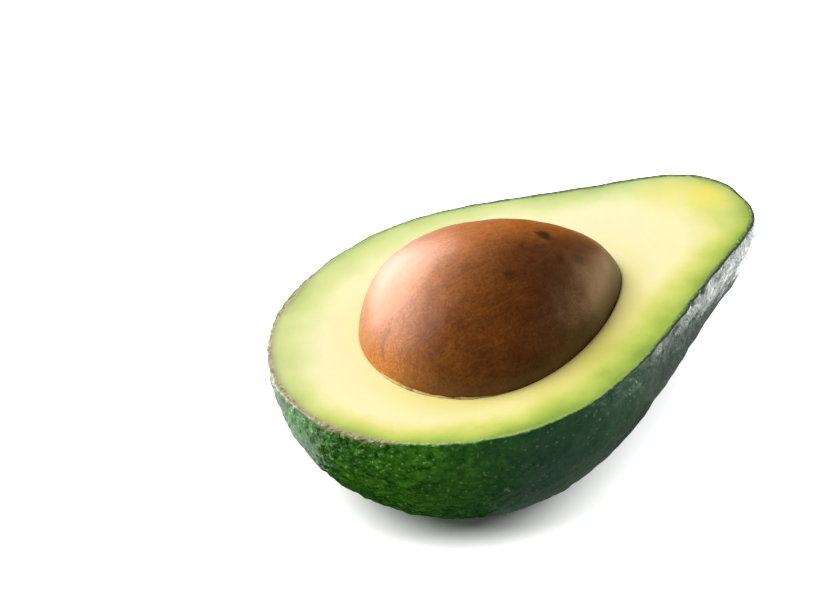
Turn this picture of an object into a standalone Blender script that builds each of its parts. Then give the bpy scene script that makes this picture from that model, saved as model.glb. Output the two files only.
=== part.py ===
"""Half an avocado, cut lengthwise, lying on its round back with its seed still in the flesh.

Metres, +Z up, +X towards the neck. The origin is the middle of the small flat spot that the half
rests on. The meshes are built in the fruit's own frame: its blunt end at x = 0, its neck along +X
and its cut face at z = 0. An empty then lays the whole half down in its resting pose.
"""

from math import atan2, cos, exp, hypot, pi, radians, sin

import bmesh
import bpy
import numpy as np
from mathutils import Vector, noise

MM = 0.001

# Body: eight equal turns lead from the blunt end to the neck, closer together at both ends.
# Each side has its own half widths at the seven turns in between: left is +Y and right is -Y.
LENGTH = 108 * MM
LEFT_WIDTHS = [16.5 * MM, 29.5 * MM, 36.5 * MM, 36 * MM, 27 * MM, 18 * MM, 10.5 * MM]
RIGHT_WIDTHS = [16.5 * MM, 29.5 * MM, 37 * MM, 35 * MM, 26.5 * MM, 18.5 * MM, 12 * MM]
DEPTH_RATIO = 0.95  # the body is a little flatter than it is wide
AXIS_BELOW_CUT = 2.5 * MM  # the knife passed just above the fruit's axis

PEEL_THICKNESS = 1.0 * MM
CLEARANCE = 0.3 * MM  # between pieces that lie against each other

# Skin relief: shallow pebbles all over, and the dimple that the stem left at the neck's tip.
PEBBLE_HEIGHT = 0.3 * MM
PEBBLE_PITCH = 5 * MM
STEM_DIMPLE = Vector((107.5 * MM, -3 * MM, 0))
STEM_DIMPLE_RADIUS = 3.5 * MM
STEM_DIMPLE_DEPTH = 0.5 * MM

# Seed: an egg whose wide end points to the blunt end of the fruit.
SEED_CENTRE = Vector((46 * MM, -2.5 * MM, -2 * MM))
SEED_HALF_SIZE = Vector((28 * MM, 22 * MM, 20.5 * MM))
SEED_TAPER = 0.24  # how much fuller than its middle the wide end is

# Resting pose: neck raised, on a flat spot pressed into the belly.
NECK_LIFT = radians(5.5)
FLAT_DEPTH = 1.25 * MM

# Mesh fineness as (steps round the long axis, steps along it).
SKIN_STEPS = (84, 72)
INNER_STEPS = (40, 28)
SEED_STEPS = (30, 22)

PEEL_COLOUR = (0.03, 0.09, 0.015, 1)
FLESH_COLOUR = (0.86, 0.83, 0.4, 1)
SEED_COLOUR = (0.26, 0.09, 0.02, 1)


def sine_amplitudes(values):
    """Amplitudes of the sine series through the values, which is zero and round at both ends."""
    steps = np.arange(1, len(values) + 1)
    table = np.sin(np.outer(steps, steps) * pi / (len(values) + 1))
    return np.linalg.solve(table, values)


LEFT_AMPLITUDES = sine_amplitudes(LEFT_WIDTHS)
RIGHT_AMPLITUDES = sine_amplitudes(RIGHT_WIDTHS)


def body_point(turn, around):
    """A point of the smooth skin: turn runs from 0 at the blunt end to pi at the neck."""
    left_share = (1 + cos(around)) / 2
    amplitudes = left_share * LEFT_AMPLITUDES + (1 - left_share) * RIGHT_AMPLITUDES
    half_width = sum(a * sin((i + 1) * turn) for i, a in enumerate(amplitudes))
    along = LENGTH * (1 - cos(turn)) / 2
    across = half_width * cos(around)
    height = DEPTH_RATIO * half_width * sin(around) - AXIS_BELOW_CUT
    return Vector((along, across, height))


def seed_point(turn, around, grown=0.0):
    """A point of the seed about its own centre, with its half sizes grown by a clearance."""
    size = SEED_HALF_SIZE + Vector((grown, grown, grown))
    fullness = 1 + SEED_TAPER * cos(turn)
    across = size.y * fullness * sin(turn) * cos(around)
    height = size.z * fullness * sin(turn) * sin(around)
    return Vector((-size.x * cos(turn), across, height))


def skin_relief(point):
    """Height of the skin's pebbles over the smooth body, less the stem's dimple."""
    pebbles = PEBBLE_HEIGHT * noise.noise(point / PEBBLE_PITCH)
    distance = (point - STEM_DIMPLE).length / STEM_DIMPLE_RADIUS
    return pebbles - STEM_DIMPLE_DEPTH * exp(-distance * distance)


def round_body(steps, surface):
    """A closed bmesh: a sphere whose points are moved to surface(turn, around)."""
    around_steps, turn_steps = steps
    body = bmesh.new()
    bmesh.ops.create_uvsphere(
        body, u_segments=around_steps, v_segments=turn_steps, radius=1
    )
    for vert in body.verts:
        turn = atan2(hypot(vert.co.x, vert.co.y), -vert.co.z)
        vert.co = surface(turn, atan2(vert.co.y, vert.co.x))
    body.normal_update()
    return body


def shift_along_normals(body, distance_at):
    """Moves every vertex outwards by distance_at(its place)."""
    moves = [vert.normal * distance_at(vert.co) for vert in body.verts]
    for vert, move in zip(body.verts, moves):
        vert.co += move


def slice_off(body, place, direction):
    """Cuts away what lies beyond the plane in the given direction and closes the cut."""
    geometry = body.verts[:] + body.edges[:] + body.faces[:]
    cut = bmesh.ops.bisect_plane(
        body,
        geom=geometry,
        dist=1e-7,
        plane_co=place,
        plane_no=direction,
        clear_outer=True,
    )
    rim = [item for item in cut["geom_cut"] if isinstance(item, bmesh.types.BMEdge)]
    bmesh.ops.contextual_create(body, geom=rim)


UP = Vector((sin(NECK_LIFT), 0, cos(NECK_LIFT)))  # the world's +Z in the fruit's frame


def lowest_point():
    """The lowest point of the smooth body in its resting pose, on the line under its axis."""
    belly_line = [body_point(turn, -pi / 2) for turn in np.linspace(0, pi, 2001)]
    return min(belly_line, key=UP.dot)


FLAT_CENTRE = lowest_point() + FLAT_DEPTH * UP


def lay_flat(body, inset):
    """Cuts the flat spot, raised by the inset so that walls keep their thickness over it."""
    slice_off(body, FLAT_CENTRE + inset * UP, -UP)


def inner_body(inset):
    """The whole body's smooth surface moved inwards, with its flat spot."""
    body = round_body(INNER_STEPS, body_point)
    shift_along_normals(body, lambda place: -inset)
    lay_flat(body, inset)
    return body


def material(name, colour, roughness):
    made = bpy.data.materials.new(name)
    made.use_nodes = True
    shader = made.node_tree.nodes["Principled BSDF"]
    shader.inputs["Base Color"].default_value = colour
    shader.inputs["Roughness"].default_value = roughness
    shader.inputs["Metallic"].default_value = 0
    made.diffuse_color = colour
    return made


def add_object(name, body, parent, location=(0, 0, 0)):
    """Turns a bmesh into a smooth shaded object with sharp edges round its cuts."""
    mesh = bpy.data.meshes.new(name)
    body.to_mesh(mesh)
    body.free()
    mesh.shade_smooth()
    mesh.set_sharp_from_angle(angle=radians(40))
    made = bpy.data.objects.new(name, mesh)
    bpy.context.scene.collection.objects.link(made)
    made.parent = parent
    made.location = location
    return made


def cut_with(target, cutter):
    """Takes the cutter's volume out of the target, and keeps the cutter out of the model."""
    cutter.hide_render = True
    cutter.display_type = "WIRE"
    boolean = target.modifiers.new(cutter.name, "BOOLEAN")
    boolean.operation = "DIFFERENCE"
    boolean.solver = "EXACT"
    boolean.object = cutter


def add_pose():
    """The empty that raises the neck and sets the middle of the flat spot on the origin."""
    pose = bpy.data.objects.new("resting_pose", None)
    bpy.context.scene.collection.objects.link(pose)
    pose.rotation_euler = (0, -NECK_LIFT, 0)
    pose.location = -(pose.rotation_euler.to_matrix() @ FLAT_CENTRE)
    return pose


def add_peel(pose):
    """The skin: pebbled outside, smooth inside, open at the cut face."""
    skin = round_body(SKIN_STEPS, body_point)
    shift_along_normals(skin, skin_relief)
    slice_off(skin, Vector(), Vector((0, 0, 1)))
    lay_flat(skin, 0)
    peel = add_object("peel", skin, pose)
    cut_with(peel, add_object("peel_hollow", inner_body(PEEL_THICKNESS), pose))
    peel.data.materials.append(material("avocado_peel", PEEL_COLOUR, 0.35))


def add_flesh(pose):
    """The flesh: fills the peel up to the cut face, with a hollow that the seed sits in."""
    body = inner_body(PEEL_THICKNESS + CLEARANCE)
    slice_off(body, Vector(), Vector((0, 0, 1)))
    flesh = add_object("flesh", body, pose)
    hollow = round_body(SEED_STEPS, lambda turn, around: seed_point(turn, around, CLEARANCE))
    cut_with(flesh, add_object("seed_hollow", hollow, pose, SEED_CENTRE))
    flesh.data.materials.append(material("avocado_flesh", FLESH_COLOUR, 0.45))


def add_seed(pose):
    """The stone: one whole egg, half sunk in the flesh."""
    seed = add_object("seed", round_body(SEED_STEPS, seed_point), pose, SEED_CENTRE)
    seed.data.materials.append(material("avocado_seed", SEED_COLOUR, 0.4))


def clear_scene():
    for old in list(bpy.data.objects):
        bpy.data.objects.remove(old, do_unlink=True)


def main():
    clear_scene()
    pose = add_pose()
    add_peel(pose)
    add_flesh(pose)
    add_seed(pose)


main()
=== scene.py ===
"""Looks of the avocado half: its skin, flesh and seed, and a white studio round it.

Lengths are in metres. The meshes are built in the fruit's own frame, as in the part's source: the blunt
end at x = 0, the neck along +X and the cut face at z = 0. Each mesh is then moved to its resting pose,
and its material turns the pose back, so that its patterns lie in the fruit's own frame too.
"""

from math import cos, pi, radians, sin

import bmesh
import bpy
import numpy as np
from mathutils import Matrix, Vector, noise


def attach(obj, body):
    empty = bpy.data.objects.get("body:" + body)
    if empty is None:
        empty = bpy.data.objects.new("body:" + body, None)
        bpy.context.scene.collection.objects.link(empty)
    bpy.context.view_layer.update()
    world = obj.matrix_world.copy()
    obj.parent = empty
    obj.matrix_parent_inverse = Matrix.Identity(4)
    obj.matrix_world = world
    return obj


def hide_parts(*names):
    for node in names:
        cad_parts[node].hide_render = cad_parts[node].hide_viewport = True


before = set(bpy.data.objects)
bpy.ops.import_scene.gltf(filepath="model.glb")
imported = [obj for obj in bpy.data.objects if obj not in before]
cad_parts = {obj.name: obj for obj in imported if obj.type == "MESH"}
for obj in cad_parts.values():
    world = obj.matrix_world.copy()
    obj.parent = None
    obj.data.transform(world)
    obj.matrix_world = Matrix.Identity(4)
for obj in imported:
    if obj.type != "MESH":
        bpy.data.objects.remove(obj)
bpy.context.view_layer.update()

MM = 0.001

# The fruit's driving dimensions, the same as in the part's source. The frame's nodes have this shape.
LENGTH = 108 * MM
LEFT_WIDTHS = [16.5 * MM, 29.5 * MM, 36.5 * MM, 36 * MM, 27 * MM, 18 * MM, 10.5 * MM]
RIGHT_WIDTHS = [16.5 * MM, 29.5 * MM, 37 * MM, 35 * MM, 26.5 * MM, 18.5 * MM, 12 * MM]
DEPTH_RATIO = 0.95  # depth of the body over its width
AXIS_BELOW_CUT = 2.5 * MM
PEEL_THICKNESS = 1.0 * MM
PEBBLE_HEIGHT = 0.3 * MM
PEBBLE_PITCH = 5 * MM
STEM_DIMPLE = Vector((107.5 * MM, -3 * MM, 0))
STEM_DIMPLE_RADIUS = 3.5 * MM
STEM_DIMPLE_DEPTH = 0.5 * MM
SEED_CENTRE = np.array((46 * MM, -2.5 * MM, -2 * MM))
SEED_HALF_SIZE = np.array((28 * MM, 22 * MM, 20.5 * MM))
SEED_TAPER = 0.24  # how much fuller than its middle the seed's wide end is
NECK_LIFT = radians(5.5)
FLAT_DEPTH = 1.25 * MM

# Camera, at the photograph's place. The roll turns it about its own view axis.
CAMERA_PLACE = Vector((-221.9 * MM, -322.7 * MM, 296.3 * MM))
CAMERA_TARGET = Vector((-6.9 * MM, 10.3 * MM, 40 * MM))
CAMERA_ROLL = radians(-2.06)
SENSOR_WIDTH_MM = 36
LENS_MM = 106.3

# Mesh fineness: columns run round the fruit, and rows run from the rim to a pole.
SKIN_COLUMNS = 600
SKIN_ROWS = 128
PEEL_WALL_ROWS = 14
FLESH_COLUMNS = 480
FLESH_WALL_ROWS = 16
FACE_ROWS = 84
HOLLOW_ROWS = 26
SEED_SUBDIVISIONS = 6
SHARP_ANGLE = radians(60)

# Fineness of the sums that find a place on a surface.
RAY_HALVINGS = 36
HOLLOW_ROUNDS = 20
OUTLINE_SAMPLES = 6001
BELLY_SAMPLES = 2001


# ---- The fruit's shape -----------------------------------------------------------------------------


def sine_amplitudes(values):
    """Amplitudes of the sine series through the values, which is zero and round at both ends."""
    steps = np.arange(1, len(values) + 1)
    table = np.sin(np.outer(steps, steps) * pi / (len(values) + 1))
    return np.linalg.solve(table, values)


LEFT_AMPLITUDES = sine_amplitudes(LEFT_WIDTHS)
RIGHT_AMPLITUDES = sine_amplitudes(RIGHT_WIDTHS)


def half_widths(turn, left_share):
    """Half widths of the smooth body where turn runs from 0 at the blunt end to pi at the neck."""
    steps = np.arange(1, len(LEFT_WIDTHS) + 1)
    waves = np.sin(np.asarray(turn)[..., None] * steps)
    return left_share * (waves @ LEFT_AMPLITUDES) + (1 - left_share) * (waves @ RIGHT_AMPLITUDES)


def body_level(points):
    """Below zero inside the smooth body, above zero outside it."""
    turn = np.arccos(np.clip(1 - 2 * points[..., 0] / LENGTH, -1, 1))
    raised = (points[..., 2] + AXIS_BELOW_CUT) / DEPTH_RATIO
    reach = np.hypot(points[..., 1], raised)
    left_share = (1 + points[..., 1] / np.maximum(reach, 1e-9)) / 2
    return reach - half_widths(turn, left_share)


def cast(origin, directions):
    """Where rays from inside the smooth body meet its surface."""
    near = np.zeros(directions.shape[:-1])
    far = 2 * LENGTH / np.linalg.norm(directions, axis=-1)
    for _ in range(RAY_HALVINGS):
        middle = (near + far) / 2
        inside = body_level(origin + middle[..., None] * directions) < 0
        near = np.where(inside, middle, near)
        far = np.where(inside, far, middle)
    return origin + near[..., None] * directions


UP = np.array((sin(NECK_LIFT), 0, cos(NECK_LIFT)))  # the world's +Z in the fruit's frame


def flat_centre():
    """The middle of the flat spot: just above the lowest point of the smooth body."""
    turn = np.linspace(0, pi, BELLY_SAMPLES)
    along = LENGTH * (1 - np.cos(turn)) / 2
    height = -DEPTH_RATIO * half_widths(turn, 0.5) - AXIS_BELOW_CUT
    belly = np.stack((along, 0 * turn, height), axis=-1)
    return belly[np.argmin(belly @ UP)] + FLAT_DEPTH * UP


FLAT_CENTRE = flat_centre()
RAISED_NECK = Matrix.Rotation(-NECK_LIFT, 4, "Y")
POSE = Matrix.Translation(-(RAISED_NECK @ Vector(FLAT_CENTRE))) @ RAISED_NECK
HEART = np.array((50 * MM, 0, -8 * MM))  # rays that shape the skin start here


def rim_curve(count, height):
    """Evenly spaced points of the smooth body's outline at a height, counterclockwise from +X."""
    angles = np.linspace(0, 2 * pi, OUTLINE_SAMPLES)
    directions = np.stack((np.cos(angles), np.sin(angles), 0 * angles), axis=-1)
    outline = cast(np.array((HEART[0], HEART[1], height)), directions)
    lengths = np.linalg.norm(np.diff(outline, axis=0), axis=1)
    travelled = np.concatenate(([0], np.cumsum(lengths)))
    wanted = np.linspace(0, travelled[-1], count, endpoint=False)
    return np.stack([np.interp(wanted, travelled, outline[:, axis]) for axis in range(3)], axis=-1)


def inward(rim):
    """Level unit vectors that point from the outline towards the middle."""
    along = np.roll(rim, -1, axis=0) - np.roll(rim, 1, axis=0)
    across = np.stack((-along[:, 1], along[:, 0], 0 * along[:, 0]), axis=-1)
    return across / np.linalg.norm(across, axis=1, keepdims=True)


def body_normals(points):
    """Outward unit normals of the smooth body, from the slope of its level."""
    step = 0.01 * MM
    slopes = []
    for axis in range(3):
        offset = step * np.eye(3)[axis]
        slopes.append(body_level(points + offset) - body_level(points - offset))
    slope = np.stack(slopes, axis=-1)
    return slope / np.linalg.norm(slope, axis=-1, keepdims=True)


def belly_rows(rim, rows):
    """Rows of points over the smooth skin, from the rim to just short of the flat spot's middle."""
    sweep = np.linspace(0, pi / 2, rows, endpoint=False)[:, None, None]
    directions = np.cos(sweep) * (rim - HEART) + np.sin(sweep) * (FLAT_CENTRE - HEART)
    return cast(HEART, directions)


def settle(points, floor_gap):
    """Presses what would sink below the floor up onto it, with a soft edge to the flat spot."""
    softness = 0.4 * MM
    height = (points - FLAT_CENTRE) @ UP - floor_gap
    pressed = (height + np.sqrt(height**2 + softness**2)) / 2
    return points + (pressed - height)[..., None] * UP


def smoothstep(value, low, high):
    """Rises softly from 0 at low to 1 at high."""
    share = np.clip((value - low) / (high - low), 0, 1)
    return share * share * (3 - 2 * share)


# ---- Meshes ----------------------------------------------------------------------------------------


def ring_mesh(name, rings, first_pole, last_pole):
    """A closed mesh: quads between rings of equal length, and a fan to a pole at either end."""
    count = len(rings[0])
    points = np.concatenate([np.concatenate(rings), [first_pole, last_pole]])
    first, last = len(points) - 2, len(points) - 1
    corner = np.arange(count)
    following = np.roll(corner, -1)
    faces = []
    for row in range(len(rings) - 1):
        low, high = row * count, (row + 1) * count
        quads = np.stack((low + corner, low + following, high + following, high + corner), axis=-1)
        faces.extend(quads.tolist())
    top = (len(rings) - 1) * count
    faces.extend([first, int(b), int(a)] for a, b in zip(corner, following))
    faces.extend([int(top + a), int(top + b), last] for a, b in zip(corner, following))
    mesh = bpy.data.meshes.new(name)
    mesh.from_pydata(points.tolist(), [], faces)
    mesh.shade_smooth()
    mesh.set_sharp_from_angle(angle=SHARP_ANGLE)
    return mesh


def set_values(mesh, name, values):
    """Stores one number for each vertex, for the material to read."""
    attribute = mesh.attributes.new(name, "FLOAT", "POINT")
    attribute.data.foreach_set("value", np.asarray(values, np.float32))


def link(thing):
    """Puts an object in the scene."""
    bpy.context.scene.collection.objects.link(thing)
    return thing


def add_piece(name, mesh, material, node):
    """Puts a mesh in its resting pose, on the body, in place of its CAD node."""
    mesh.transform(POSE)
    mesh.materials.append(material)
    piece = link(bpy.data.objects.new(name, mesh))
    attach(piece, "root")
    if node:
        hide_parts(node)
    return piece


# ---- Skin ------------------------------------------------------------------------------------------

RIM_ROUNDING = 0.2 * MM
RIM_UNEVENNESS = 0.05 * MM
RIM_UNEVEN_PITCH = 1.3 * MM
POLE_LIFT = 0.03 * MM  # keeps the flat spot's middle level with the softly pressed skin round it

# Furrows run between cells of this pitch, which noise bends. Their width is in pitches too.
CELL_PITCH = 2.3 * MM
CELL_BEND = 0.55
CELL_BEND_PITCH = 3 * MM
NOISE_OFFSETS = [Vector((0, 0, 0)), Vector((31.4, 0, 0)), Vector((0, 47.2, 0))]
FURROW_WIDTH = 0.25
FURROW_DEPTH = 0.13 * MM
LUMP_HEIGHT = 0.26 * MM
LUMP_PITCH = 1.7 * MM
WRINKLE_HEIGHT = 0.12 * MM
WRINKLE_SPACING = Vector((6 * MM, 6 * MM, 1.9 * MM))

# The skin is coarse up to one place along the fruit, and past the other it has lost most of its relief.
COARSE_UNTIL = 18 * MM
FINE_FROM = 55 * MM
RELIEF_LOST = 0.7

# Two nicks that the knife left in the rim near the neck.
NICKS = [Vector((79.9 * MM, -23.5 * MM, 0)), Vector((76 * MM, -25.2 * MM, 0))]
NICK_RADIUS = 0.9 * MM
NICK_DEPTH = 0.7 * MM


def stretched(point, spacing):
    """The point divided by a spacing of its own along each axis."""
    return Vector((point.x / spacing.x, point.y / spacing.y, point.z / spacing.z))


def bell(share):
    """A soft bell: 1 at 0, and almost 0 at 2."""
    return np.exp(-share * share)


def bend_at(point):
    """Three noises, read far apart. mathutils has noise_vector for this, but it can differ between runs."""
    return Vector([noise.noise(point + offset) for offset in NOISE_OFFSETS])


def furrow_at(point):
    """From 0 on a pebble of the skin to 1 in the furrow between two of them."""
    bend = CELL_BEND * bend_at(point / CELL_BEND_PITCH)
    nearest, second = noise.voronoi(point / CELL_PITCH + bend)[0][:2]
    return bell((second - nearest) / FURROW_WIDTH)


def skin_relief(point, furrow):
    """Height of the real skin over the smooth body at one of its points."""
    pebbles = PEBBLE_HEIGHT * noise.noise(point / PEBBLE_PITCH)
    wrinkle = WRINKLE_HEIGHT * noise.noise(stretched(point, WRINKLE_SPACING))
    coarse = 1 - RELIEF_LOST * smoothstep(point.x, COARSE_UNTIL, FINE_FROM)
    lumps = LUMP_HEIGHT * noise.noise(point / LUMP_PITCH) - FURROW_DEPTH * furrow
    dimple = STEM_DIMPLE_DEPTH * bell((point - STEM_DIMPLE).length / STEM_DIMPLE_RADIUS)
    height = pebbles + wrinkle + coarse * lumps - dimple
    for nick in NICKS:
        height -= NICK_DEPTH * bell((point - nick).length / NICK_RADIUS)
    return height


def displaced_skin(smooth):
    """The rows of the smooth skin moved by its relief, and the furrow values of their points."""
    normals = body_normals(smooth)
    flat_points = [Vector(point) for point in smooth.reshape(-1, 3)]
    furrows = np.array([furrow_at(point) for point in flat_points])
    heights = np.array([skin_relief(point, furrow) for point, furrow in zip(flat_points, furrows)])
    normals[0, :, 2] = 0  # the rim moves in the plane of the cut
    normals[0] /= np.linalg.norm(normals[0], axis=1, keepdims=True)
    moved = smooth + normals * heights.reshape(smooth.shape[:2])[..., None]
    return moved, furrows.reshape(smooth.shape[:2])


def rim_bands(outer, inner):
    """Rings over the peel's cut edge from its rounded outer corner inwards, and their shares of it."""
    shares = np.array((0.02, 0.07, 0.2, 0.35, 0.5, 0.65, 0.8, 1.0))
    drops = np.array((0.45, 0.14, 0, 0, 0, 0, 0, 0)) * RIM_ROUNDING
    rings = []
    for share, drop in zip(shares, drops):
        ring = outer + share * (inner - outer)
        uneven = [noise.noise(Vector(point) / RIM_UNEVEN_PITCH) for point in ring]
        ring[:, 2] = -drop + RIM_UNEVENNESS * np.array(uneven) * np.sin(pi * share)
        rings.append(ring)
    return rings, shares


def inner_wall(rim, rows, inset):
    """Rows of points under the smooth skin at an inset, below the rim, with their own flat spot."""
    wall = belly_rows(rim, rows)[1:]
    return settle(wall - inset * body_normals(wall), inset)


def skin_mesh():
    """The peel. Its "cut" runs from 0 on the skin to 1 at the flesh, and "furrow" is 1 in a furrow."""
    rim = rim_curve(SKIN_COLUMNS, -RIM_ROUNDING)
    skin, furrows = displaced_skin(belly_rows(rim, SKIN_ROWS))
    skin = settle(skin, 0)
    bands, shares = rim_bands(skin[0], rim + PEEL_THICKNESS * inward(rim))
    wall = inner_wall(rim, PEEL_WALL_ROWS, PEEL_THICKNESS)
    poles = (FLAT_CENTRE + POLE_LIFT * UP, FLAT_CENTRE + PEEL_THICKNESS * UP)
    mesh = ring_mesh("peel_skin", [*skin[::-1], *bands, *wall], *poles)
    cut_of_rings = [*np.zeros(len(skin)), *shares, *np.ones(len(wall))]
    set_values(mesh, "cut", [*np.repeat(cut_of_rings, SKIN_COLUMNS), 0, 1])
    no_furrows = np.zeros((len(bands) + len(wall)) * SKIN_COLUMNS)
    set_values(mesh, "furrow", [*furrows[::-1].ravel(), *no_furrows, 0, 0])
    return mesh


# ---- Flesh -----------------------------------------------------------------------------------------

FLESH_INSET = PEEL_THICKNESS
HOLLOW_ROUNDING = 0.12 * MM
# The hollow lies this far inside the seed's smooth egg, because the uneven seed lies partly under it too,
# and seed and flesh touch along the waterline.
HOLLOW_GRIP = 0.1 * MM
# Waves that the knife left in the cut face, and how far from the face's edges they fade.
WAVE_HEIGHT = 0.12 * MM
WAVE_SPACING = Vector((22 * MM, 9 * MM, 1))
WAVE_FADE = 3 * MM
FAR_MM = 30  # stands for "nowhere near" at the poles

# Widths of the green zone inside the skin at equal angles round the seed, from +X counterclockwise.
GREEN_WIDTHS = [8.8 * MM, 6.8 * MM, 5 * MM, 5 * MM, 5.5 * MM, 6.5 * MM, 7 * MM, 6 * MM]
GREEN_WIDTHS += [3.8 * MM, 3.8 * MM, 4.5 * MM, 6 * MM, 8 * MM, 8.5 * MM, 6.8 * MM, 7 * MM]


def hollow_points(around, lift):
    """Points of the seed's hollow at an angle around its middle from +X and at a lift above the level."""
    size = SEED_HALF_SIZE - HOLLOW_GRIP
    along = np.cos(lift) * np.cos(around)
    fullness = 1 - SEED_TAPER * along
    across = size[1] * fullness * np.cos(lift) * np.sin(around)
    height = size[2] * fullness * np.sin(lift)
    return SEED_CENTRE + np.stack((size[0] * along, across, height), axis=-1)


def hollow_rows(directions, rows):
    """Rows down the hollow's wall. The first lies HOLLOW_ROUNDING below the face, in the given
    directions from the seed's centre, and the last is just short of the hollow's lowest point."""
    size = SEED_HALF_SIZE - HOLLOW_GRIP
    around = directions.copy()
    lift = np.zeros_like(directions)
    for _ in range(HOLLOW_ROUNDS):
        fullness = 1 - SEED_TAPER * np.cos(lift) * np.cos(around)
        lift = np.arcsin((-HOLLOW_ROUNDING - SEED_CENTRE[2]) / (size[2] * fullness))
        around = np.arctan2(np.sin(directions) / (size[1] * fullness), np.cos(directions) / size[0])
    share = np.linspace(0, 1, rows, endpoint=False)[:, None]
    return hollow_points(around + 0 * share, lift * (1 - share) - share * pi / 2)


def face_rows(outer, inner, rows):
    """Rings over the cut face, from the rim to the rounded edge of the hollow, with knife waves."""
    share = np.linspace(0, 1, rows)[:, None, None]
    points = outer + share * (inner - outer)
    from_outer = np.linalg.norm(points - outer, axis=-1)
    from_inner = np.linalg.norm(points - inner, axis=-1)
    fall = HOLLOW_ROUNDING - np.minimum(from_inner, HOLLOW_ROUNDING)
    points[..., 2] = np.sqrt(HOLLOW_ROUNDING**2 - fall**2) - HOLLOW_ROUNDING
    level = points.reshape(-1, 3) * (1, 1, 0)
    waves = [noise.noise(stretched(Vector(point), WAVE_SPACING)) for point in level]
    fade = smoothstep(from_inner, 0, WAVE_FADE) * smoothstep(from_outer, 0, WAVE_FADE)
    points[..., 2] += WAVE_HEIGHT * np.reshape(waves, fade.shape) * fade
    return points


def green_widths(directions):
    """Widths of the green zone in the given directions from the seed."""
    stations = np.linspace(0, 2 * pi, len(GREEN_WIDTHS) + 1)
    return np.interp(directions % (2 * pi), stations, GREEN_WIDTHS + GREEN_WIDTHS[:1])


def distances(rings, curve):
    """Distance of every point of the rings from the curve's point in the same column."""
    return np.linalg.norm(np.concatenate([ring - curve for ring in rings]), axis=-1)


def flesh_mesh():
    """The flesh. Its "depth" is 0 at the skin and 1 where the green zone ends, and "rim" and "contact"
    are the distances in millimetres from the skin and from the hollow's edge."""
    rim = rim_curve(FLESH_COLUMNS, 0)
    edge = rim + FLESH_INSET * inward(rim)
    from_seed = edge - SEED_CENTRE
    directions = np.arctan2(from_seed[:, 1], from_seed[:, 0])
    hollow = hollow_rows(directions, HOLLOW_ROWS)
    face = face_rows(edge, hollow[0], FACE_ROWS)
    wall = inner_wall(rim, FLESH_WALL_ROWS, FLESH_INSET)
    rings = [*wall[::-1], *face, *hollow[1:]]
    deepest = hollow_points(np.zeros(1), np.full(1, -pi / 2))[0]
    mesh = ring_mesh("flesh_body", rings, FLAT_CENTRE + FLESH_INSET * UP, deepest)
    from_skin = distances(rings, rim)
    from_hollow = distances(rings, hollow[0])
    widths = np.tile(green_widths(directions), len(rings))
    set_values(mesh, "depth", [*(from_skin / widths), 0, 1])
    set_values(mesh, "rim", [*(from_skin / MM), 0, FAR_MM])
    set_values(mesh, "contact", [*(from_hollow / MM), FAR_MM, 0])
    return mesh


# ---- Seed ------------------------------------------------------------------------------------------

# The seed's unevenness: broad swells with finer ones on them, mostly under the smooth egg.
SEED_SWELL = 0.22 * MM
SWELL_PITCH = 9 * MM
FINE_SWELL = 0.35
FINE_SWELL_PITCH = 3 * MM
SWELL_SUNK = 0.5

# Dark pits: the direction in the seed's unit sphere, then the radius, the depth and the darkness.
SEED_PITS = [
    (Vector((0.39, -0.12, 0.91)), 1.9 * MM, 0.1 * MM, 1.0),
    (Vector((0.14, -0.25, 0.96)), 1.3 * MM, 0.05 * MM, 0.55),
    (Vector((-0.11, -0.46, 0.88)), 1.6 * MM, 0.06 * MM, 0.6),
    (Vector((0.35, -0.46, 0.82)), 1.5 * MM, 0.08 * MM, 0.85),
    (Vector((0.50, -0.48, 0.72)), 1.7 * MM, 0.1 * MM, 1.0),
]
PIT_RAGGEDNESS = 0.8
PIT_RAGGED_PITCH = 1.1 * MM

# A shallow crease near the blunt end, as directions in the unit sphere. Noise fades its darkness.
SEED_CREASE = [
    Vector((-0.98, -0.04, 0.18)),
    Vector((-0.964, -0.01, 0.26)),
    Vector((-0.948, -0.002, 0.32)),
    Vector((-0.925, -0.005, 0.38)),
    Vector((-0.89, -0.03, 0.44)),
]
CREASE_WIDTH = 0.8 * MM
CREASE_DEPTH = 0.08 * MM
CREASE_DARKNESS = 0.56
CREASE_FADING = 0.2
CREASE_FADING_PITCH = 1.5 * MM


def seed_surface(direction):
    """The seed's smooth surface in a direction of the unit sphere."""
    fullness = 1 - SEED_TAPER * direction.x
    size = Vector(SEED_HALF_SIZE)
    return Vector((size.x * direction.x, size.y * fullness * direction.y, size.z * fullness * direction.z))


def distance_to_path(point, path):
    """Distance from a point to the nearest of the straight stretches between the path's points."""
    nearest = float("inf")
    for start, end in zip(path, path[1:]):
        stretch = end - start
        share = min(max((point - start).dot(stretch) / stretch.length_squared, 0), 1)
        nearest = min(nearest, (point - start - share * stretch).length)
    return nearest


def seed_relief(point, pits, crease):
    """Height of the real seed over its smooth surface at a point, and how dark its marks are there."""
    swell = noise.noise(point / SWELL_PITCH) + FINE_SWELL * noise.noise(point / FINE_SWELL_PITCH)
    height = SEED_SWELL * (swell - SWELL_SUNK)
    mark = 0
    for place, radius, depth, darkness in pits:
        ragged = 1 + PIT_RAGGEDNESS * noise.noise((point + place) / PIT_RAGGED_PITCH)
        share = bell((point - place).length / (radius * ragged))
        height -= depth * share
        mark = max(mark, darkness * share)
    line = bell(distance_to_path(point, crease) / CREASE_WIDTH)
    faded = CREASE_DARKNESS + CREASE_FADING * noise.noise(point / CREASE_FADING_PITCH)
    return height - CREASE_DEPTH * line, max(mark, faded * line)


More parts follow.
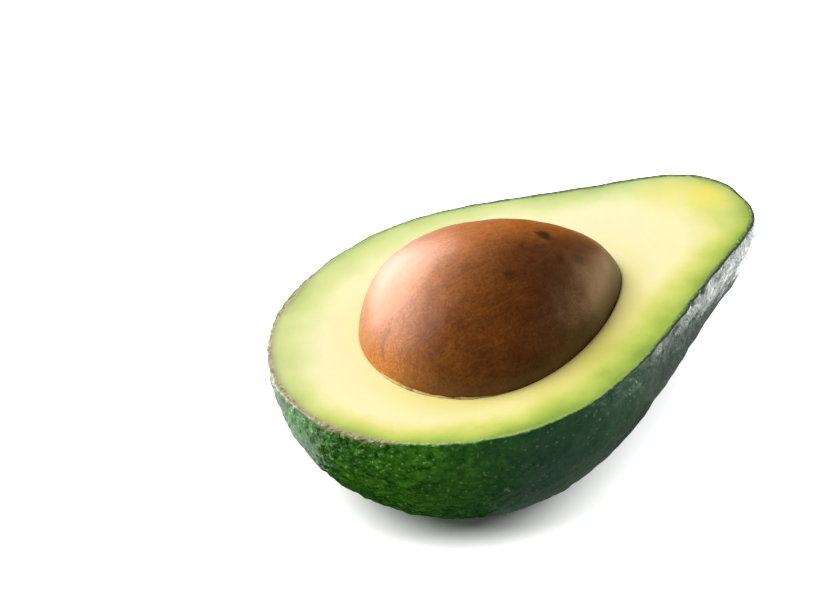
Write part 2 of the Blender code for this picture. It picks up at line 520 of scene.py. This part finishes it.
def seed_mesh():
    """The stone. Its "mark" is 1 in the middle of the darkest pits."""
    body = bmesh.new()
    bmesh.ops.create_icosphere(body, subdivisions=SEED_SUBDIVISIONS, radius=1)
    for vert in body.verts:
        vert.co = seed_surface(vert.co)
    body.normal_update()
    pits = [(seed_surface(direction), *rest) for direction, *rest in SEED_PITS]
    crease = [seed_surface(direction) for direction in SEED_CREASE]
    relief = [seed_relief(vert.co, pits, crease) for vert in body.verts]
    moves = [vert.normal * height for vert, (height, _) in zip(body.verts, relief)]
    for vert, move in zip(body.verts, moves):
        vert.co += move + Vector(SEED_CENTRE)
    mesh = bpy.data.meshes.new("seed_stone")
    body.to_mesh(mesh)
    body.free()
    mesh.shade_smooth()
    set_values(mesh, "mark", [mark for _, mark in relief])
    return mesh


# A shred of the seed's papery coat, left along the waterline near the blunt end.
COAT_FROM = radians(178)  # angles round the seed from +X, counterclockwise
COAT_TO = radians(240)
COAT_STEPS = 150
COAT_SIDES = 8
COAT_RAISED = 0.05 * MM
COAT_WIDTH = 0.3 * MM
COAT_FLATNESS = 0.8
COAT_RAGGEDNESS = 0.9
COAT_RAGGED_PITCH = 1.9 * MM
COAT_SWAY = 0.12 * MM
COAT_SWAY_PITCH = 2.3 * MM


def coat_taper(share):
    """How wide the strand is at a share of its length: thin ends, and full in between."""
    return min(1, 8 * share + 0.1, 6 * (1 - share) + 0.1)


def coat_mesh():
    """A ragged, flattened strand in the joint between the seed and the flesh, with closed ends."""
    directions = np.linspace(COAT_FROM, COAT_TO, COAT_STEPS)
    line = hollow_rows(directions, 2)[0]
    line[:, 2] = COAT_RAISED
    outward = np.stack((np.cos(directions), np.sin(directions), 0 * directions), axis=-1)
    upward = np.array((0, 0, 1))
    angles = np.linspace(0, 2 * pi, COAT_SIDES, endpoint=False)[:, None]
    rings = []
    for share, place, away in zip(np.linspace(0, 1, COAT_STEPS), line, outward):
        ragged = 1 + COAT_RAGGEDNESS * noise.noise(Vector(place) / COAT_RAGGED_PITCH)
        radius = COAT_WIDTH * ragged * coat_taper(share)
        sway = COAT_SWAY * noise.noise(Vector(place) / COAT_SWAY_PITCH)
        across = radius * np.cos(angles) * away
        raised = COAT_FLATNESS * radius * np.sin(angles) * upward
        rings.append(place + sway * away + across + raised)
    return ring_mesh("seed_coat_shred", rings, line[0], line[-1])


# ---- Materials -------------------------------------------------------------------------------------

MIX_FACTOR, MIX_A, MIX_B, MIX_RESULT = 0, 6, 7, 2  # sockets of the Mix node in its colour mode


def opaque(red, green, blue):
    return (red, green, blue, 1.0)


class Paint:
    """One material and short calls for the nodes that colour it, in the fruit's own frame."""

    def __init__(self, name, **constants):
        self.material = bpy.data.materials.new(name)
        self.material.use_nodes = True
        self.tree = self.material.node_tree
        self.shader = self.tree.nodes["Principled BSDF"]
        for socket, value in constants.items():
            self.shader.inputs[socket.replace("_", " ")].default_value = value
        resting = self.node("ShaderNodeTexCoord").outputs["Object"]
        self.place = self.moved(resting, rotation=(0, NECK_LIFT, 0), location=FLAT_CENTRE)

    def node(self, kind, **settings):
        made = self.tree.nodes.new(kind)
        for name, value in settings.items():
            setattr(made, name, value)
        return made

    def feed(self, socket, value):
        """Links an output to the socket, or sets the socket to a number or a colour."""
        if isinstance(value, bpy.types.NodeSocket):
            self.tree.links.new(value, socket)
        else:
            socket.default_value = value

    def moved(self, vector, rotation=(0, 0, 0), location=(0, 0, 0), scale=(1, 1, 1)):
        """The vector scaled, then turned, then shifted."""
        made = self.node("ShaderNodeMapping")
        self.feed(made.inputs["Vector"], vector)
        made.inputs["Rotation"].default_value = rotation
        made.inputs["Location"].default_value = location
        made.inputs["Scale"].default_value = scale
        return made.outputs["Vector"]

    def noise(self, size, detail=2.0, roughness=0.5, distortion=0.0, vector=None):
        """Noise with features of about the given size."""
        made = self.node("ShaderNodeTexNoise")
        self.feed(made.inputs["Vector"], vector or self.place)
        made.inputs["Scale"].default_value = 1 / size
        made.inputs["Detail"].default_value = detail
        made.inputs["Roughness"].default_value = roughness
        made.inputs["Distortion"].default_value = distortion
        return made.outputs[0]

    def cells(self, size):
        """Distance from the nearest of scattered points with about the given spacing, in spacings."""
        made = self.node("ShaderNodeTexVoronoi")
        self.feed(made.inputs["Vector"], self.place)
        made.inputs["Scale"].default_value = 1 / size
        return made.outputs["Distance"]

    def value(self, name):
        """The number of that name that the mesh stores for each vertex."""
        return self.node("ShaderNodeAttribute", attribute_name=name).outputs["Fac"]

    def axis(self, name):
        made = self.node("ShaderNodeSeparateXYZ")
        self.feed(made.inputs[0], self.place)
        return made.outputs[name]

    def ramp(self, value, low, high, to_low=0.0, to_high=1.0):
        """Turns low..high into to_low..to_high with soft ends."""
        made = self.node("ShaderNodeMapRange", interpolation_type="SMOOTHSTEP")
        self.feed(made.inputs["Value"], value)
        self.feed(made.inputs["From Min"], low)
        self.feed(made.inputs["From Max"], high)
        self.feed(made.inputs["To Min"], to_low)
        self.feed(made.inputs["To Max"], to_high)
        return made.outputs["Result"]

    def along(self, axis, low, high, to_low=0.0, to_high=1.0):
        """A ramp between two places along an axis."""
        return self.ramp(self.axis(axis), low, high, to_low, to_high)

    def patches(self, size, low, high, to_low=0.0, to_high=1.0, **settings):
        """A ramp over noise with features of about the given size."""
        return self.ramp(self.noise(size, **settings), low, high, to_low, to_high)

    def near(self, centre, radius):
        """1 at a place, falling softly to 0 at a radius from it."""
        made = self.node("ShaderNodeVectorMath", operation="DISTANCE")
        self.feed(made.inputs[0], self.place)
        made.inputs[1].default_value = centre
        return self.ramp(made.outputs["Value"], radius, 0.0)

    def math(self, operation, first, second=0.0):
        made = self.node("ShaderNodeMath", operation=operation)
        self.feed(made.inputs[0], first)
        self.feed(made.inputs[1], second)
        return made.outputs[0]

    def times(self, *values):
        """The product of the values."""
        product = values[0]
        for value in values[1:]:
            product = self.math("MULTIPLY", product, value)
        return product

    def mix(self, share, first, second, blend="MIX"):
        """The first colour, with its share of the second mixed in."""
        made = self.node("ShaderNodeMix", data_type="RGBA", blend_type=blend)
        self.feed(made.inputs[MIX_FACTOR], share)
        self.feed(made.inputs[MIX_A], first)
        self.feed(made.inputs[MIX_B], second)
        return made.outputs[MIX_RESULT]

    def tinted(self, colour, tint):
        """The colour multiplied by a tint or by a plain number."""
        return self.mix(1.0, colour, tint, "MULTIPLY")

    def shaded(self, colour, pattern, low, high):
        """The colour multiplied by low where the pattern is low and by high where it is high."""
        return self.tinted(colour, self.ramp(pattern, 0.32, 0.68, low, high))

    def colours(self, value, *stops):
        """A colour ramp through (position, colour) stops."""
        made = self.node("ShaderNodeValToRGB")
        elements = made.color_ramp.elements
        while len(elements) < len(stops):
            elements.new(1.0)
        for element, (position, colour) in zip(elements, stops):
            element.position = position
            element.color = colour
        self.feed(made.inputs["Fac"], value)
        return made.outputs["Color"]

    def bump(self, height, distance, below=None):
        """Relief that is distance high where the height is 1, on top of the relief below it."""
        made = self.node("ShaderNodeBump")
        self.feed(made.inputs["Height"], height)
        made.inputs["Distance"].default_value = distance
        if below:
            self.feed(made.inputs["Normal"], below)
        return made.outputs["Normal"]

    def finish(self, colour, roughness, normal):
        """Feeds the surface's looks to the shader and returns the material."""
        self.feed(self.shader.inputs["Base Color"], colour)
        self.feed(self.shader.inputs["Roughness"], roughness)
        self.feed(self.shader.inputs["Normal"], normal)
        return self.material


WHITE = opaque(1, 1, 1)


def dried_end(paint, strength):
    """The strength at the blunt end on the near side, where the cut edge has dried, and 0 elsewhere."""
    slanted = paint.math("SUBTRACT", paint.axis("X"), paint.times(paint.axis("Y"), 0.35))
    return paint.ramp(slanted, 20 * MM, 8 * MM, 0.0, strength)


def skin_green(paint, neck_share):
    """Skin green: patches, mottling, painted shade in the furrows and dark patches at the blunt end."""
    patches = paint.patches(10 * MM, 0.36, 0.66, detail=3)
    blunt_green = paint.mix(patches, opaque(0.045, 0.22, 0.016), opaque(0.1, 0.39, 0.018))
    neck_green = paint.mix(patches, opaque(0.023, 0.095, 0.042), opaque(0.04, 0.14, 0.055))
    green = paint.mix(neck_share, blunt_green, neck_green)
    # Painted light: the belly is lightened, as by light bounced up from the white floor.
    painted_floor_bounce = paint.along("Z", -12 * MM, -30 * MM, 1.0, 1.4)
    green = paint.tinted(green, painted_floor_bounce)
    mottled = paint.patches(1.5 * MM, 0.42, 0.72, 0.0, 0.75, detail=4, roughness=0.65)
    mottled = paint.times(mottled, paint.along("X", 10 * MM, 32 * MM, 1.0, 0.6))
    light_green = paint.mix(neck_share, opaque(0.17, 0.58, 0.03), opaque(0.05, 0.19, 0.065))
    green = paint.mix(mottled, green, light_green)
    # Painted shade: the furrows between the pebbles are darkened.
    painted_furrow_shade = paint.times(paint.value("furrow"), paint.ramp(neck_share, 0.0, 1.0, 0.35, 0.15))
    green = paint.mix(painted_furrow_shade, green, opaque(0.012, 0.06, 0.008))
    pitted = paint.patches(1.7 * MM, 0.48, 0.34, 0.0, 0.85, detail=3, roughness=0.55)
    pitted = paint.times(pitted, paint.along("X", 5 * MM, 26 * MM, 1.0, 0.2))
    return paint.mix(pitted, green, opaque(0.012, 0.07, 0.008))


def skin_specks(paint):
    """1 in the middle of the skin's pale specks, which differ in size and fade in places."""
    radius = paint.patches(1.9 * MM, 0.3, 0.7, 0.14, 0.36)
    speck = paint.ramp(paint.cells(1.3 * MM), radius, 0.04)
    return paint.times(speck, paint.patches(6 * MM, 0.35, 0.65, 0.35, 1.0))


def across_cut(paint, cut):
    """The share of the way over the cut edge with a ragged border, further on at the blunt end."""
    ragged = paint.math("ADD", cut, paint.patches(0.9 * MM, 0.3, 0.7, -0.16, 0.16, detail=3))
    return paint.math("ADD", ragged, paint.along("X", 70 * MM, 25 * MM, 0.0, 0.3))


def cut_edge_colour(paint, across):
    """Colour of the peel's cut edge, from the dark skin to the green beside the flesh."""
    return paint.colours(
        across,
        (0.0, opaque(0.02, 0.04, 0.01)),
        (0.4, opaque(0.035, 0.07, 0.014)),
        (0.65, opaque(0.2, 0.31, 0.05)),
        (0.95, opaque(0.29, 0.41, 0.1)),
    )


def tan_colour(paint, edge, across):
    """Colour of the dried strip: light tan on the skin, darker on the cut, greenish by the flesh."""
    grain = paint.patches(0.8 * MM, 0.35, 0.65, detail=4, roughness=0.65)
    skin_tan = paint.mix(grain, opaque(0.36, 0.24, 0.11), opaque(0.66, 0.55, 0.33))
    cut_tan = paint.mix(grain, opaque(0.18, 0.11, 0.04), opaque(0.38, 0.31, 0.14))
    tan = paint.mix(edge, skin_tan, cut_tan)
    return paint.mix(paint.ramp(across, 0.9, 1.3, 0.0, 0.5), tan, opaque(0.36, 0.4, 0.16))


def tan_strip(paint, edge):
    """Where the dried strip lies: on the cut edge, and as a ragged collar just below it."""
    droop = paint.patches(1.1 * MM, 0.3, 0.7, 0.0, 1.1 * MM, detail=3)
    collar = paint.ramp(paint.math("ADD", paint.axis("Z"), droop), -0.2 * MM, 0.3 * MM)
    return paint.times(dried_end(paint, 0.95), paint.math("MAXIMUM", edge, collar))


def skin_paint():
    paint = Paint("avocado_skin", Specular_IOR_Level=0.45, Coat_Weight=0.2, Coat_Roughness=0.2)
    neck_share = paint.along("X", 6 * MM, 34 * MM)
    green = skin_green(paint, neck_share)
    speck = skin_specks(paint)
    pale_speck = paint.mix(neck_share, opaque(0.52, 0.88, 0.16), opaque(0.36, 0.54, 0.25))
    speck_strength = paint.ramp(neck_share, 0.0, 1.0, 0.9, 0.65)
    green = paint.mix(paint.times(speck, speck_strength), green, pale_speck)

    cut = paint.value("cut")
    edge = paint.ramp(cut, 0.0, 0.12)
    across = across_cut(paint, cut)
    green = paint.mix(edge, green, cut_edge_colour(paint, across))
    green = paint.mix(tan_strip(paint, edge), green, tan_colour(paint, edge, across))
    scar = paint.times(paint.near(STEM_DIMPLE, 4.5 * MM), paint.noise(0.8 * MM, detail=4))
    green = paint.mix(paint.ramp(scar, 0.2, 0.45), green, opaque(0.09, 0.08, 0.045))

    # The neck's skin is crackled: raised plates with thin dark gaps, which are not on the cut edge.
    neck = paint.along("X", 55 * MM, 75 * MM)
    lines = paint.noise(1.7 * MM, detail=5, roughness=0.7, distortion=0.8)
    plate = paint.ramp(paint.math("ABSOLUTE", paint.math("SUBTRACT", lines, 0.5)), 0.0, 0.045)
    gap = paint.times(neck, paint.math("SUBTRACT", 1.0, plate), paint.math("SUBTRACT", 1.0, edge))
    green = paint.mix(paint.times(gap, 0.6), green, opaque(0.01, 0.035, 0.016))

    rough = paint.patches(1.2 * MM, 0.3, 0.7, 0.22, 0.38, detail=3)
    rough = paint.times(rough, paint.along("X", 8 * MM, 30 * MM, 0.65, 1.0))
    rough = paint.math("MAXIMUM", rough, paint.times(edge, 0.8))
    rough = paint.math("MAXIMUM", rough, paint.times(gap, 0.75))

    long_hollows = paint.moved(paint.place, scale=(0.7, 1, 1))
    hollows = paint.noise(1.5 * MM, detail=3, roughness=0.55, vector=long_hollows)
    hollows = paint.times(hollows, paint.along("X", 6 * MM, 45 * MM, 1.0, 0.2))
    normal = paint.bump(paint.noise(0.55 * MM, detail=4, roughness=0.6), 0.08 * MM)
    normal = paint.bump(hollows, 0.95 * MM, normal)
    normal = paint.bump(paint.times(neck, plate), 0.22 * MM, normal)
    normal = paint.bump(speck, 0.06 * MM, normal)
    return paint.finish(green, rough, normal)


def pale_sheened_flesh(paint, depth):
    """Colours of the flesh from the skin inwards on the far side, paler with a painted sheen of the room.
    """
    return paint.colours(
        depth,
        (0.0, opaque(0.36, 0.46, 0.16)),
        (0.1, opaque(0.51, 0.62, 0.23)),
        (0.25, opaque(0.63, 0.71, 0.28)),
        (0.45, opaque(0.73, 0.78, 0.34)),
        (0.72, opaque(0.87, 0.86, 0.47)),
        (0.95, opaque(0.93, 0.88, 0.53)),
    )


def rich_shaded_flesh(paint, depth):
    """Colours of the flesh from the skin inwards on the near side, richer with painted shade from the seed.
    """
    return paint.colours(
        depth,
        (0.0, opaque(0.25, 0.38, 0.06)),
        (0.08, opaque(0.3, 0.42, 0.068)),
        (0.2, opaque(0.42, 0.55, 0.09)),
        (0.33, opaque(0.56, 0.64, 0.13)),
        (0.52, opaque(0.74, 0.74, 0.2)),
        (0.72, opaque(0.88, 0.82, 0.33)),
        (0.95, opaque(0.94, 0.88, 0.48)),
    )


def yellow_streak(paint):
    """The share of the ripe yellow streak near the stem, which fades towards the skin."""
    streak = paint.times(paint.near((97 * MM, 6.5 * MM, 0), 11 * MM), 0.6)
    streak = paint.math("MAXIMUM", streak, paint.near((102.5 * MM, 1.8 * MM, 0), 11 * MM))
    return paint.times(streak, paint.ramp(paint.value("depth"), 0.0, 0.5, 0.0, 0.75))


def flesh_paint():
    paint = Paint("avocado_flesh", Specular_IOR_Level=0.35, Subsurface_Weight=0.25, Subsurface_Scale=2 * MM)
    paint.shader.inputs["Subsurface Radius"].default_value = (1.0, 0.8, 0.3)
    wander = paint.patches(8 * MM, 0.3, 0.7, -0.16, 0.16, detail=3)
    depth = paint.times(paint.math("ADD", paint.value("depth"), wander), 0.5)
    # The near and far sides differ partly by painted light: sheen on the far side, shade from the seed on
    # the near.
    near_side_shade = paint.along("Y", 14 * MM, -18 * MM)
    colour = paint.mix(near_side_shade, pale_sheened_flesh(paint, depth), rich_shaded_flesh(paint, depth))
    colour = paint.mix(yellow_streak(paint), colour, opaque(0.92, 0.79, 0.14))

    # Painted shade: the flesh beside the seed darkens to a warm yellow, most on the near side.
    painted_seed_shade = paint.ramp(paint.value("contact"), 8.0, 0.3)
    painted_seed_shade = paint.times(painted_seed_shade, paint.along("Y", 0.0, -20 * MM, 0.2, 0.7))
    colour = paint.mix(painted_seed_shade, colour, opaque(0.88, 0.76, 0.18))
    bruised = paint.times(dried_end(paint, 1.0), paint.ramp(paint.value("rim"), 2.2, 1.0, 0.0, 0.45))
    colour = paint.mix(bruised, colour, opaque(0.5, 0.42, 0.2))
    fibres = paint.noise(1.1 * MM, detail=5, roughness=0.65)
    fibres = paint.mix(fibres, opaque(0.8, 0.8, 0.8), WHITE)
    colour = paint.mix(0.2, colour, fibres, "MULTIPLY")

    rough = paint.patches(3 * MM, 0.3, 0.7, 0.34, 0.5, detail=3)
    normal = paint.bump(paint.noise(0.6 * MM, detail=4), 0.03 * MM)
    return paint.finish(colour, rough, normal)


def seed_brown(paint):
    """Brown of the seed, warm at the blunt end and dark at the neck, with painted glow, shade and golden
    light.
    """
    clouds = paint.patches(9 * MM, 0.35, 0.66, detail=4, roughness=0.55)
    warm = paint.mix(clouds, opaque(0.33, 0.085, 0.002), opaque(0.42, 0.12, 0.003))
    dark = paint.mix(clouds, opaque(0.108, 0.028, 0.001), opaque(0.14, 0.04, 0.001))
    # The fall from warm to dark along the seed is partly painted light, fading away from the key on the
    # left.
    brown = paint.mix(paint.along("X", 20 * MM, 56 * MM), warm, dark)
    # Painted glow: light from the flesh, painted orange on the blunt end near the waterline.
    painted_glow = paint.times(
        paint.along("X", 25 * MM, 18 * MM),
        paint.along("Z", 8 * MM, 1 * MM, 0.3, 0.75),
    )
    brown = paint.mix(painted_glow, brown, opaque(0.86, 0.28, 0.01))
    # Painted shade on the seed's near side, which faces away from the key.
    shadow = opaque(0.62, 0.6, 0.5)
    near_side_shade = paint.mix(paint.along("Y", -4 * MM, -15 * MM), WHITE, shadow)
    brown = paint.tinted(brown, near_side_shade)
    # Painted light: the far side, which faces the key, is lighter and golden.
    painted_far_light = paint.along("Y", -9 * MM, 2 * MM, 0.0, 0.75)
    brown = paint.mix(painted_far_light, brown, opaque(0.5, 0.135, 0.002))
    # Painted shade: the near side darkens towards the waterline, where the flesh shades it.
    waterline_shade = paint.mix(paint.along("Z", 8 * MM, 1 * MM), WHITE, shadow)
    return paint.mix(paint.along("Y", 0.0, -12 * MM), brown, paint.tinted(brown, waterline_shade))


def seed_paint():
    paint = Paint("avocado_seed", Specular_IOR_Level=0.5)
    long_streaks = paint.moved(paint.place, scale=(0.2, 1, 1))
    streaks = paint.noise(1.1 * MM, detail=4, roughness=0.65, distortion=0.5, vector=long_streaks)
    grain = paint.noise(0.5 * MM, detail=3, roughness=0.7)
    brown = paint.shaded(seed_brown(paint), streaks, 0.84, 1.16)
    brown = paint.shaded(brown, grain, 0.74, 1.26)
    flaw = paint.ramp(paint.value("mark"), 0.15, 0.85)
    brown = paint.mix(paint.times(flaw, 0.9), brown, opaque(0.03, 0.005, 0.001))
    rough = paint.ramp(grain, 0.3, 0.7, 0.42, 0.5)
    normal = paint.bump(streaks, 0.03 * MM)
    normal = paint.bump(grain, 0.03 * MM, normal)
    return paint.finish(brown, rough, normal)


def coat_paint():
    paint = Paint("avocado_seed_coat", Specular_IOR_Level=0.3)
    flakes = paint.noise(2.6 * MM, detail=4, roughness=0.6)
    tan = paint.mix(paint.ramp(flakes, 0.32, 0.52), opaque(0.2, 0.09, 0.015), opaque(0.6, 0.42, 0.14))
    brown_end = paint.along("X", 23 * MM, 34 * MM, 0.0, 0.85)
    tan = paint.mix(brown_end, tan, opaque(0.1, 0.03, 0.005))
    rough = paint.ramp(flakes, 0.3, 0.7, 0.5, 0.7)
    return paint.finish(tan, rough, paint.bump(flakes, 0.08 * MM))


def floor_paint():
    paint = Paint("studio_floor", Specular_IOR_Level=0.1)
    tone = paint.mix(paint.noise(0.4), opaque(0.93, 0.93, 0.93), opaque(0.95, 0.95, 0.95))
    rough = paint.patches(0.2, 0.0, 1.0, 0.6, 0.7)
    return paint.finish(tone, rough, paint.bump(0.5, 0.0))


# ---- Studio ----------------------------------------------------------------------------------------


FLOOR_HALF_SIZE = 3.0
LIGHT_TARGET = Vector((0, 0, 40 * MM))
CARD_HEIGHT = 2 * MM
SUN_DIRECTION = Vector((0.574, 0, 0.819))  # 55 degrees above +X, before each sun's own turn
SUN_WIDTH = radians(40)
WORLD_STRENGTH = 0.25
GREENISH = (0.8, 1, 0.84)
AMBER = (1, 0.72, 0.38)

# Softboxes that light the fruit's own colours: place, size and radiance.
FILLS = {
    "key": ((-0.62, 0.68, 1.25), 0.9, 9.4),
    "right_fill": ((0.761, 0, 0.287), 0.3, 6.5),
    "front_fill": ((0.538, -0.538, 0.287), 0.3, 4.0),
    "left_fill": ((-0.761, 0, 0.287), 0.3, 3.0),
}


def add_floor():
    """The white floor. It sends no light back to the fruit: the cards and fills do that."""
    half = FLOOR_HALF_SIZE
    mesh = bpy.data.meshes.new("studio_floor")
    corners = [(-half, -half, 0), (half, -half, 0), (half, half, 0), (-half, half, 0)]
    mesh.from_pydata(corners, [], [(0, 1, 2, 3)])
    mesh.materials.append(floor_paint())
    floor = link(bpy.data.objects.new("studio_floor", mesh))
    floor.visible_glossy = False
    floor.visible_diffuse = False
    return floor


def aim(place, target, roll=0.0):
    """Matrix of a camera or a light at a place that looks at a target."""
    turn = (target - place).to_track_quat("-Z", "Y").to_matrix().to_4x4()
    return Matrix.Translation(place) @ turn @ Matrix.Rotation(roll, 4, "Z")


def shine_onto(light_object, things):
    """Makes a light shine onto these things alone."""
    lit = bpy.data.collections.new(light_object.name + "_lit")
    for thing in things:
        lit.objects.link(thing)
    light_object.light_linking.receiver_collection = lit


def add_light(name, kind, matrix, things):
    """A light that the camera doesn't see and that shines onto some things."""
    light = link(bpy.data.objects.new(name, bpy.data.lights.new(name, kind)))
    light.matrix_world = matrix
    light.visible_camera = False
    shine_onto(light, things)
    return light


def add_panel(name, matrix, size, radiance, things, colour=(1, 1, 1)):
    """A rectangle of even radiance."""
    panel = add_light(name, "AREA", matrix, things)
    panel.data.shape = "RECTANGLE"
    panel.data.size = size[0]
    panel.data.size_y = size[1]
    panel.data.energy = radiance * pi * size[0] * size[1]
    panel.data.color = colour
    return panel


def add_fill(name, place, size, radiance, things):
    """A square softbox that leaves no highlight."""
    matrix = aim(Vector(place), LIGHT_TARGET)
    add_panel(name, matrix, (size, size), radiance, things).visible_glossy = False


def add_reflection(name, matrix, size, radiance, things, colour=(1, 1, 1)):
    """A panel that is only seen in glossy surfaces."""
    add_panel(name, matrix, size, radiance, things, colour).visible_diffuse = False


def add_card(name, low, high, radiance, things, colour=(1, 1, 1)):
    """A reflection of a card that lies on the floor between two corners and faces up."""
    middle = Vector(((low[0] + high[0]) / 2, (low[1] + high[1]) / 2, CARD_HEIGHT))
    size = (high[0] - low[0], high[1] - low[1])
    matrix = Matrix.Translation(middle) @ Matrix.Rotation(pi, 4, "X")
    add_reflection(name, matrix, size, radiance, things, colour)


def add_floor_sun(name, degrees_from_x, strength, floor):
    """A wide sun that whitens the floor and leaves a soft shadow under the fruit."""
    direction = Matrix.Rotation(radians(degrees_from_x), 3, "Z") @ SUN_DIRECTION
    sun = add_light(name, "SUN", aim(direction, Vector((0, 0, 0))), [floor])
    sun.data.energy = strength
    sun.data.angle = SUN_WIDTH
    sun.visible_glossy = False


def add_reflections(skin, flesh, stones):
    """The window, and what a white table and its surroundings show in the glossy skin and seed."""
    window = aim(Vector((-0.17, 0.4, 0.2)), LIGHT_TARGET)
    add_reflection("window", window, (0.68, 0.5), 10.5, [skin, *stones])
    low_window = aim(Vector((-0.2, 0.4, 0.18)), LIGHT_TARGET)
    add_reflection("low_window", low_window, (0.68, 0.5), 1.5, [flesh])
    add_card("back_card", (-0.3, 0.05), (0.1, 0.45), 0.9, [skin, flesh, *stones])
    add_card("seed_card", (-0.26, 0.012), (-0.018, 0.16), 0.8, [flesh, *stones])
    add_card("left_card", (-0.26, 0.012), (-0.018, 0.16), 1.0, [skin], GREENISH)
    add_card("right_card", (0.092, -0.12), (0.27, 0.06), 4.8, [skin])
    add_card("near_card", (-0.01, -0.1), (0.045, -0.02), 0.12, [skin])
    add_card("flank_card", (0.045, -0.11), (0.092, 0.03), 0.22, [skin])
    side = aim(Vector((0.24, -0.01, 0.03)), Vector((0, 0, 0.05)))
    add_reflection("side_card", side, (0.16, 0.07), 10.0, stones, AMBER)


def add_world():
    """An even white room, which the fruit doesn't reflect."""
    world = bpy.data.worlds.new("studio")
    world.use_nodes = True
    background = world.node_tree.nodes["Background"]
    background.inputs["Color"].default_value = WHITE
    background.inputs["Strength"].default_value = WORLD_STRENGTH
    world.cycles_visibility.glossy = False
    bpy.context.scene.world = world


def add_studio(skin, flesh, stones):
    floor = add_floor()
    for name, (place, size, radiance) in FILLS.items():
        add_fill(name, place, size, radiance, [skin, flesh, *stones])
    add_reflections(skin, flesh, stones)
    add_floor_sun("floor_sun_left", -180, 4.7, floor)
    add_floor_sun("floor_sun_front", -60, 3.9, floor)
    add_world()
    bpy.context.scene.view_settings.view_transform = "Standard"


def add_camera():
    lens = bpy.data.cameras.new("camera")
    lens.sensor_width = SENSOR_WIDTH_MM
    lens.lens = LENS_MM
    camera = link(bpy.data.objects.new("camera", lens))
    camera.matrix_world = aim(CAMERA_PLACE, CAMERA_TARGET, CAMERA_ROLL)
    bpy.context.scene.camera = camera


def build():
    skin = add_piece("peel_skin", skin_mesh(), skin_paint(), "peel")
    flesh = add_piece("flesh_body", flesh_mesh(), flesh_paint(), "flesh")
    stone = add_piece("seed_stone", seed_mesh(), seed_paint(), "seed")
    shred = add_piece("seed_coat_shred", coat_mesh(), coat_paint(), None)
    add_studio(skin, flesh, [stone, shred])
    add_camera()


build()
